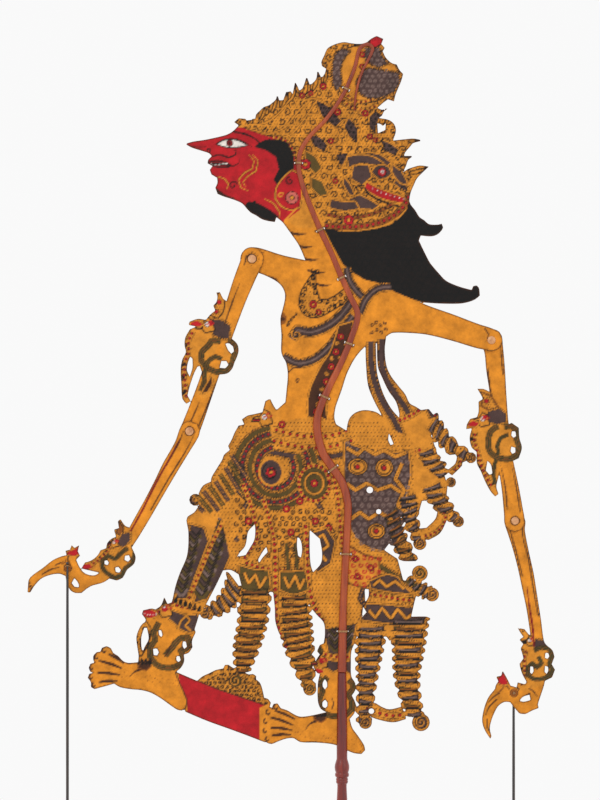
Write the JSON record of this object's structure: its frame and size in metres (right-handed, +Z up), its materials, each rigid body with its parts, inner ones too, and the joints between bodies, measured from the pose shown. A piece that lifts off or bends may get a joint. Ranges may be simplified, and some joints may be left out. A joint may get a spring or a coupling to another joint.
{
  "type": "shadow puppet",
  "caption": "Flat painted leather shadow puppet on a curved horn control rod, with riveted arms that swing at shoulder and elbow and a thin rod hung from each hand.",
  "frame": {"origin": "middle of the flat lower end of the control rod", "axes": "+Z up along the control rod's grip, the figure faces -X, the painted front looks along -Y"},
  "size_m": [0.4746, 0.0216, 0.8946],
  "materials": {
    "painted_hide": "rawhide painted gold, black, red and grey",
    "red_horn": "polished red-brown horn",
    "dark_horn": "polished dark horn",
    "bone": "yellowed bone",
    "thread": "waxed cotton thread"
  },
  "bodies": {
    "figure": {"body_leather": "painted_hide", "rod_strip_front": "red_horn", "rod_strip_back": "red_horn", "rod_grip": "red_horn", "tie_crown": "thread", "tie_brow": "thread", "tie_nape": "thread", "tie_collar": "thread", "tie_chest": "thread", "tie_waist": "thread", "tie_belt": "thread", "tie_apron": "thread", "tie_shin": "thread", "left_shoulder_rivet": "bone", "left_shoulder_washer": "bone", "right_shoulder_rivet": "bone", "right_shoulder_washer": "bone"},
    "left_upper_arm": {"left_upper_arm": "painted_hide", "left_elbow_rivet": "bone"},
    "left_forearm": {"left_forearm": "painted_hide"},
    "left_hand_thread": {"left_hand_thread": "thread"},
    "left_hand_rod": {"left_hand_rod": "dark_horn"},
    "right_upper_arm": {"right_upper_arm": "painted_hide", "right_elbow_rivet": "bone"},
    "right_forearm": {"right_forearm": "painted_hide"},
    "right_hand_thread": {"right_hand_thread": "thread"},
    "right_hand_rod": {"right_hand_rod": "dark_horn"}
  },
  "joints": [
    {"name": "left_shoulder", "type": "hinge", "parent": "figure", "child": "left_upper_arm", "pos_m": [-0.081, 0, 0.694], "axis": [0, 1, 0], "range_deg": [-20, 150]},
    {"name": "left_elbow", "type": "hinge", "parent": "left_upper_arm", "child": "left_forearm", "pos_m": [-0.1371, 0, 0.539], "axis": [0, -1, 0], "range_deg": [-140, 60]},
    {"name": "left_rod_swing", "type": "hinge", "parent": "left_forearm", "child": "left_hand_thread", "pos_m": [-0.2465, 0, 0.417], "axis": [0, 1, 0], "range_deg": [-100, 100]},
    {"name": "left_rod_tilt", "type": "hinge", "parent": "left_hand_thread", "child": "left_hand_rod", "pos_m": [-0.2465, -0.0086, 0.41765], "axis": [1, 0, 0], "range_deg": [-40, 0]},
    {"name": "right_shoulder", "type": "hinge", "parent": "figure", "child": "right_upper_arm", "pos_m": [0.1345, 0, 0.6208], "axis": [0, 1, 0], "range_deg": [-140, 15]},
    {"name": "right_elbow", "type": "hinge", "parent": "right_upper_arm", "child": "right_forearm", "pos_m": [0.1559, 0, 0.4582], "axis": [0, -1, 0], "range_deg": [-35, 140]},
    {"name": "right_rod_swing", "type": "hinge", "parent": "right_forearm", "child": "right_hand_thread", "pos_m": [0.155, 0, 0.303], "axis": [0, 1, 0], "range_deg": [-100, 100]},
    {"name": "right_rod_tilt", "type": "hinge", "parent": "right_hand_thread", "child": "right_hand_rod", "pos_m": [0.155, 0.0086, 0.30365], "axis": [1, 0, 0], "range_deg": [0, 40]}
  ]
}
